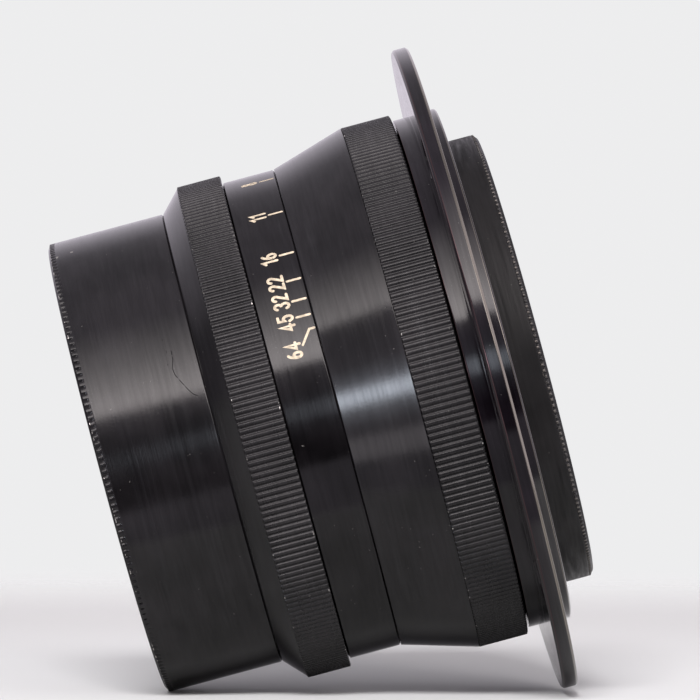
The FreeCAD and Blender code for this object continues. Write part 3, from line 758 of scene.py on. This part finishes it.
def build_ring():
    """The aperture ring: scale cylinder, knurled band and flare, with its drive screw's hole."""
    radius, low, high = reach("aperture_ring")
    knurl_foot, knurl_top = high - 10.05, high - 3.05
    path = outline("aperture_ring")
    step = nearest(path, SCALE_RADIUS, knurl_foot)
    groove = [(SCALE_RADIUS, high - 10.32), (37.8, knurl_foot)]
    inward = path[(step + 1) % len(path)][0] < radius
    path[step:step + 1] = reversed(groove) if inward else groove
    ring = lathe("scale_ring", rounded(path))
    screw_low, screw_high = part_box("drive_screw")
    middle = (screw_low + screw_high) / 2
    way = Vector((middle.x, middle.y, 0)).normalized()
    hole_radius = 1.27
    rings = [(34.0, hole_radius), (41.0, hole_radius)]
    carve(ring, [spindle("hole", Vector((0, 0, middle.z)), way, rings)])
    finish_piece(ring, "aperture_ring", "satin_black", stands_for=["aperture_ring"])
    root, tip = radius + 0.03, radius + 0.29
    knurl = teeth("ring_knurl", RING_TEETH, root, tip, knurl_foot, knurl_top, KNURL_RUN_IN)
    finish_piece(knurl, "aperture_ring", "satin_black", FINISHES["knurl_black"])


# The scale: (number, angle of its mark about +Z, mm that the number stands aside of the mark)
SCALE = (("64", -70.6, -2.7), ("45", -67.2, -0.5), ("32", -63.1, 0.4), ("22", -57.7, 0.1),
         ("16", -50.1, -0.2), ("11", -35.7, 0.0), ("8", -16.7, 0.0), ("5.6", 8.0, 0.0))
NUMBER_FOOT, NUMBER_TALL, NUMBER_STROKE = 3.2, 2.2, 0.42
INDEX_TURN, INDEX_WIDTH = 8.0, 0.55


def build_scale():
    """The engraved aperture numbers with their marks, and the fixed index line."""
    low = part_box("aperture_ring")[0].z / MM
    strokes = []
    for text, turn, aside in SCALE:
        strokes += figure_strokes(text, turn, aside, low + NUMBER_FOOT, NUMBER_TALL)
        mark = [(0.0, low + 0.55), (0.0, low + 2.6)]
        if text == "64":
            mark = [(0.0, low + 0.45), (0.0, low + 1.2), (-2.2, low + 2.75)]
        strokes.append((turn, mark, 0.85))
    numbers = engrave("scale_numbers", strokes, lambda height: SCALE_RADIUS, NUMBER_STROKE)
    finish_piece(numbers, "aperture_ring", None, CREAM)
    foot, foot_radius, top, top_radius = 13.3, 41.85, 24.9, 38.4
    slope = (top_radius - foot_radius) / (top - foot)
    line = [(0.0, top - 0.4), (0.0, top - 6.0)]

    def cone_radius(height):
        return foot_radius + slope * (height - foot)

    index = engrave("index_line", [(INDEX_TURN, line, 1.0)], cone_radius, INDEX_WIDTH)
    finish_piece(index, "barrel", None, CREAM)


def build_body():
    """The body: cone and wide grip outside, the ring's hub with its arc slot inside."""
    path = outline("main_barrel")
    # The groove behind the grip is cut deeper and slanted
    path[nearest(path, 40.1, 5.0)] = (38.6, 5.0)
    path[nearest(path, 40.1, 5.4)] = (40.9, 5.4)
    body = lathe("body_barrel", rounded(path))
    carve(body, [arc_block("slot", 32.0, 37.0, 29.2, 31.4, start=132.8, sweep=83.0)])
    finish_piece(body, "barrel", "gloss_black", stands_for=["main_barrel"])
    root, tip, foot, top = 41.64, 41.88, 5.42, 13.28
    grip = teeth("grip_knurl", GRIP_TEETH, root, tip, foot, top, KNURL_RUN_IN)
    finish_piece(grip, "barrel", "gloss_black", FINISHES["knurl_black"])


def build_flange():
    """The mounting flange with its four countersunk holes."""
    radius = reach("mount_flange")[0]
    bared = 0.4
    points = [
        (across, height, 1.0 if across > radius - bared and height < bared else edge)
        for across, height, edge in rounded(outline("mount_flange"), 0.08)
    ]
    plate = lathe("flange_plate", points)
    screw_circle = 46.3
    countersunk = [(-1.0, 1.7), (0.9, 1.7), (2.5, 3.3), (3.0, 3.8)]
    holes = []
    for quarter in range(4):
        place = spot(screw_circle, 45 + 90 * quarter, 0.0)
        holes.append(spindle(f"hole_{quarter}", place, (0, 0, 1), countersunk))
    carve(plate, holes)
    finish_piece(plate, "barrel", "flange_black", stands_for=["mount_flange"])


def build_rear():
    """The matte rear tube with its serrated rim and stepped mouth."""
    radius, low, high = reach("rear_barrel")
    path = outline("rear_barrel")
    outer = nearest(path, 31.2, low)
    inner = nearest(path, 27.5, -2.0)
    tube = lathe("rear_tube", rounded(ridged(path, outer, inner, 0.35, 0.14), 0.08))
    finish_piece(tube, "barrel", "matte_black", stands_for=["rear_barrel"])
    root, foot, top = radius - 0.24, low + 0.35, low + 0.92
    rim = teeth("rear_rim_teeth", REAR_BEADS, root, radius, foot, top, 0.14, BEADS, 1.0)
    finish_piece(rim, "barrel", "matte_black", FINISHES["bead_black"])


def dress_cad_nodes():
    """Gives every CAD node that still shows its finish, by the name of its packed material."""
    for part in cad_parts.values():
        if not part.hide_render:
            slot = part.data.materials[0].name
            part.data.materials[0] = FINISHES[slot]


# ---------------------------------------------------------------- stage

# The camera, in degrees and metres
CAMERA_TILT, CAMERA_YAW = 15.0, 0.571
CAMERA_AWAY, CAMERA_LIFT, AIM_REARWARD = 0.887, 0.00809, 0.00684


def axes(right, up, back, place):
    """The matrix of an object with these axes at this place."""
    return Matrix(((*right, 0), (*up, 0), (*back, 0), (*place, 1))).transposed()


def add_camera():
    """A long lens at the photograph's angle, a little above the optical axis."""
    tilt, yaw = math.radians(CAMERA_TILT), math.radians(CAMERA_YAW)
    ahead = Vector((0, math.cos(yaw), -math.sin(yaw)))
    level = Vector((0, -math.sin(yaw), -math.cos(yaw)))
    up = Vector((1, 0, 0))
    right = math.cos(tilt) * level - math.sin(tilt) * up
    top = math.sin(tilt) * level + math.cos(tilt) * up
    data = bpy.data.cameras.new("camera")
    data.lens = 292.0
    data.sensor_width = 36.0
    data.clip_start = 0.05
    data.clip_end = 20.0
    camera = bpy.data.objects.new("camera", data)
    bpy.context.scene.collection.objects.link(camera)
    middle = (cad_low + cad_high) / 2
    aim = Vector((0, 0, middle.z - AIM_REARWARD))
    place = aim - ahead * CAMERA_AWAY + Vector((CAMERA_LIFT, 0, 0))
    camera.matrix_world = axes(right, top, -ahead, place)
    bpy.context.scene.camera = camera


# Where the light comes from, its distance and two sizes in metres, the second along the axis
LIGHT_FROM, LIGHT_AWAY, LIGHT_SIZE, LIGHT_WATTS = (0.56, -0.82, -0.04), 2.4, (0.6, 0.75), 76.0


def add_light():
    """One large soft light, high and towards the camera, that the lens doesn't mirror."""
    data = bpy.data.lights.new("key", "AREA")
    data.shape = "RECTANGLE"
    data.size, data.size_y = LIGHT_SIZE
    data.energy = LIGHT_WATTS
    data.color = (1.0, 0.985, 0.99)
    light = bpy.data.objects.new("key", data)
    bpy.context.scene.collection.objects.link(light)
    back = Vector(LIGHT_FROM).normalized()
    along = (Vector((0, 0, 1)) - back * back.z).normalized()
    place = (cad_low + cad_high) / 2 + back * LIGHT_AWAY
    light.matrix_world = axes(along.cross(back), along, back, place)
    light.visible_camera = False
    light.visible_glossy = False


# What the lens mirrors, as (place, brightness). Angles are degrees above the camera's side, round
# the optical axis. The last table's places are the direction's part along the axis, from -1 at the
# rear to +1 at the front.
ROOM = ((-180, 0.82), (-150, 0.8), (-140, 0.6), (-120, 0.3), (-90, 0.24), (-60, 0.3), (-30, 0.38),
        (20, 0.4), (60, 0.47), (115, 0.41), (125, 0.42), (132, 0.46), (140, 0.64), (150, 0.82),
        (180, 0.82))
CAMERA_SHADE = ((-23.5, 1.0), (-22.0, 0.0), (-8, 0.0), (0, 0.05), (8, 0.2), (14, 0.42),
                (19, 0.85), (24, 1.0))
WARM_PANEL = ((20, 4.9), (28, 4.9), (32, 4.4), (38, 3.3), (44, 2.4), (50, 1.65), (56, 1.1),
              (62, 0.55), (68, 0.15), (72, 0.0))
COOL_STREAK = ((-0.3, 0.3), (-0.1, 1.4), (-0.05, 3.6), (-0.033, 3.4), (-0.025, 2.0), (-0.01, 0.0),
               (0.005, 0.0), (0.015, 0.6), (0.024, 0.5), (0.032, 0.0),
               (0.42, 0.0), (0.48, 11.0), (0.62, 11.0), (0.7, 0.0))
ROOM_TINT, WARM_TINT, COOL_TINT = (1.0, 0.93, 1.04), (1.0, 0.93, 0.92), (0.82, 0.89, 1.0)
PATCH_TINT = (1.0, 0.93, 0.97)
# Degrees by which the panel's low edge rises per unit along the axis, and where the others stand
PANEL_LEAN, WINDOW_ABOVE, PATCH_BELOW, PATCH_ALONG = 32.0, 2.5, 22.8, 0.54


def ramp(tree, value, stops, low, high):
    """Looks a value up in a table of (place, brightness), with straight runs between them."""
    share = maths(tree, "DIVIDE", minus(tree, value, low), high - low)
    made = node(tree, "ShaderNodeValToRGB", None, _0=share)
    elements = made.color_ramp.elements
    while len(elements) > 1:
        elements.remove(elements[-1])
    for i, (place, level) in enumerate(stops):
        position = (place - low) / (high - low)
        if i == 0:
            elements[0].position = position
        element = elements[0] if i == 0 else elements.new(position)
        element.color = (level, level, level, 1.0)
    return made.outputs[0]


def glow(tree, tint, level):
    """A background of one tint whose strength is a number or a socket."""
    return node(tree, "ShaderNodeBackground", None, Color=opaque(tint), Strength=level).outputs[0]


def mixed_shaders(tree, factor, first, second):
    """Mixes two shaders."""
    return node(tree, "ShaderNodeMixShader", None, _0=factor, _1=first, _2=second).outputs[0]


def total(tree, shaders):
    """Adds shaders up."""
    result = shaders[0]
    for shader in shaders[1:]:
        result = node(tree, "ShaderNodeAddShader", None, _0=result, _1=shader).outputs[0]
    return result


def room_glow(tree, above, z, endwise):
    """The room by angle, dark where the camera stands, and its two ends along the axis."""
    shade = larger(tree, ramp(tree, above, CAMERA_SHADE, -30, 30), spread(tree, z, 0.25, 0.42))
    sides = times(tree, ramp(tree, above, ROOM, -180, 180), shade)
    end = spread(tree, endwise, 0.8, 0.95)
    ends = times(tree, end, spread(tree, z, 0.0, -0.1, 0.2, 1.4))
    return glow(tree, ROOM_TINT, plus(tree, times(tree, sides, minus(tree, 1.0, end)), ends))


def panel_glow(tree, above, z, endwise):
    """The warm panel above the camera, with a low edge that leans along the axis."""
    low_edge = minus(tree, above, times(tree, z, PANEL_LEAN))
    warm = times(tree, ramp(tree, above, WARM_PANEL, 0, 90), spread(tree, low_edge, 23.2, 24.8))
    warm = times(tree, warm, spread(tree, endwise, 0.75, 0.6))
    return glow(tree, WARM_TINT, times(tree, warm, spread(tree, z, 0.3, 0.45, 1.0, 1.25)))


def window_glow(tree, above, z):
    """The cool window at the camera's height, a narrow streak with a faint halo."""
    aside = apart(tree, above, WINDOW_ABOVE)
    halo = times(tree, spread(tree, aside, 16.0, 5.0), 0.1)
    streak = plus(tree, spread(tree, aside, 5.5, 1.5), halo)
    return glow(tree, COOL_TINT, times(tree, ramp(tree, z, COOL_STREAK, -1, 1), streak))


def patch_glow(tree, above, z):
    """A dim patch below the camera, towards the front."""
    beside = spread(tree, apart(tree, z, PATCH_ALONG), 0.14, 0.08)
    lower = maths(tree, "ABSOLUTE", plus(tree, above, PATCH_BELOW))
    return glow(tree, PATCH_TINT, times(tree, beside, spread(tree, lower, 6.5, 5.0)))


def add_world():
    """The studio. Mirroring surfaces see the room, its panel, window and patch. Matt surfaces get a
    soft light from it, and the camera sees a plain pale backdrop."""
    world = bpy.data.worlds.new("studio")
    bpy.context.scene.world = world
    world.use_nodes = True
    tree = world.node_tree
    tree.nodes.clear()
    way = node(tree, "ShaderNodeTexCoord").outputs["Generated"]
    x, y, z = node(tree, "ShaderNodeSeparateXYZ", None, Vector=way).outputs
    angle = maths(tree, "ARCTAN2", x, times(tree, y, -1.0))
    above = times(tree, angle, 180.0 / math.pi)
    endwise = maths(tree, "ABSOLUTE", z)
    studio = total(tree, [
        room_glow(tree, above, z, endwise),
        panel_glow(tree, above, z, endwise),
        window_glow(tree, above, z),
        patch_glow(tree, above, z),
    ])
    rays = node(tree, "ShaderNodeLightPath").outputs
    soft = glow(tree, (1.0, 0.98, 1.0), spread(tree, x, 0.25, 0.6, 0.6, 0.19))
    backdrop = glow(tree, (0.848, 0.848, 0.855), 1.0)
    indirect = mixed_shaders(tree, rays["Is Diffuse Ray"], studio, soft)
    seen = mixed_shaders(tree, rays["Is Camera Ray"], indirect, backdrop)
    node(tree, "ShaderNodeOutputWorld", None, Surface=seen)


# The table's painted shade where the lens mirrors it, darkest under the lens: (metres towards the
# camera, brightness)
TABLE_PAINTED_MIRROR_SHADE = ((-0.04, 0.6), (-0.02, 0.32), (-0.006, 0.21), (0.012, 0.21), (0.028, 0.35),
                  (0.06, 0.37))
# The far colour is painted shade: the table darkens towards it far out, where more light falls on
# it.
TABLE_PALE, TABLE_PALER, TABLE_FAR_PAINTED_SHADE = (0.745, 0.75, 0.75), (0.775, 0.78, 0.78), (0.665, 0.665, 0.665)
TABLE_RINGS, TABLE_STEPS, TABLE_RADIUS = 24, 96, 0.6
# How far behind their front ends the flange and the front tube touch the table, in mm
FLANGE_TOUCH, RIM_TOUCH = 0.35, 0.9
TABLE_CLEARANCE = 0.0001    # metres


def floor_finish():
    """A pale matt table, seen from above only. It fades into the background far out and just in
    front of the lens. Its colour darkens far out, a painted shade where more light falls on it.
    Where the lens mirrors it, it has a painted shadow under the lens and painted light behind the
    flange."""
    material, tree, shader, place = new_material("table")
    along, nearer, _ = node(tree, "ShaderNodeSeparateXYZ", None, Vector=place).outputs
    away = node(tree, "ShaderNodeVectorMath", {"operation": "LENGTH"}, _0=place).outputs["Value"]
    tint = blended(tree, noise(tree, place, 14.0, 2.0), opaque(TABLE_PALE), opaque(TABLE_PALER))
    # Painted shade: darker far out, where more light reaches the table.
    tint = blended(tree, spread(tree, away, 0.06, 0.26), tint, opaque(TABLE_FAR_PAINTED_SHADE))
    # Painted shade and light: as the lens mirrors it, the table is darkened under the lens and
    # brightened behind the flange.
    painted_mirror_light_and_shade = ramp(tree, nearer, TABLE_PAINTED_MIRROR_SHADE, -0.04, 0.06)
    painted_light_behind_flange = spread(tree, along, -0.037, -0.032, 2.3, 1.0)
    painted_mirror_light_and_shade = times(tree, painted_mirror_light_and_shade, painted_light_behind_flange, clamp=True)
    by_glossy_rays = node(tree, "ShaderNodeLightPath").outputs["Is Glossy Ray"]
    tint = blended(tree, by_glossy_rays, tint, painted_mirror_light_and_shade)
    tree.links.new(tint, shader.inputs["Base Color"])
    shader.inputs["Roughness"].default_value = 0.6
    fade = larger(tree, spread(tree, away, 0.25, 0.55), spread(tree, nearer, 0.06, 0.068))
    from_below = node(tree, "ShaderNodeNewGeometry").outputs["Backfacing"]
    clear = node(tree, "ShaderNodeBsdfTransparent").outputs[0]
    surface = mixed_shaders(tree, larger(tree, fade, from_below), shader.outputs[0], clear)
    tree.links.new(surface, tree.nodes["Material Output"].inputs["Surface"])
    return material


def add_floor():
    """A round table top that the flange and the front rim rest on."""
    flange, _, flange_high = reach("mount_flange")
    front, _, front_high = reach("front_barrel")
    rear_touch = Vector((-flange, 0, flange_high - FLANGE_TOUCH)) * MM
    front_touch = Vector((-front, 0, front_high - RIM_TOUCH)) * MM
    along = (front_touch - rear_touch).normalized()
    up = Vector((along.z, 0, -along.x))
    middle = (rear_touch + front_touch) / 2 - up * TABLE_CLEARANCE
    steps = TABLE_STEPS
    verts = [(0, 0, 0)]
    for ring in range(1, TABLE_RINGS + 1):
        radius = TABLE_RADIUS * (ring / TABLE_RINGS) ** 1.5
        turns = [math.tau * i / steps for i in range(steps)]
        verts += [(radius * math.cos(turn), radius * math.sin(turn), 0) for turn in turns]
    faces = [(0, 1 + i, 1 + (i + 1) % steps) for i in range(steps)]
    for ring in range(TABLE_RINGS - 1):
        inner, outer = 1 + ring * steps, 1 + (ring + 1) * steps
        for i in range(steps):
            j = (i + 1) % steps
            faces.append((inner + i, outer + i, outer + j, inner + j))
    mesh = bpy.data.meshes.new("table_top")
    mesh.from_pydata(verts, [], faces)
    smooth(mesh)
    floor = add_object("table_top", mesh)
    floor.matrix_world = axes(along, up.cross(along), up, middle)
    mesh.materials.append(floor_finish())


build_front()
build_ring()
build_scale()
build_body()
build_flange()
build_rear()
dress_cad_nodes()
add_camera()
add_world()
add_floor()
add_light()
bpy.context.scene.view_settings.view_transform = "Standard"
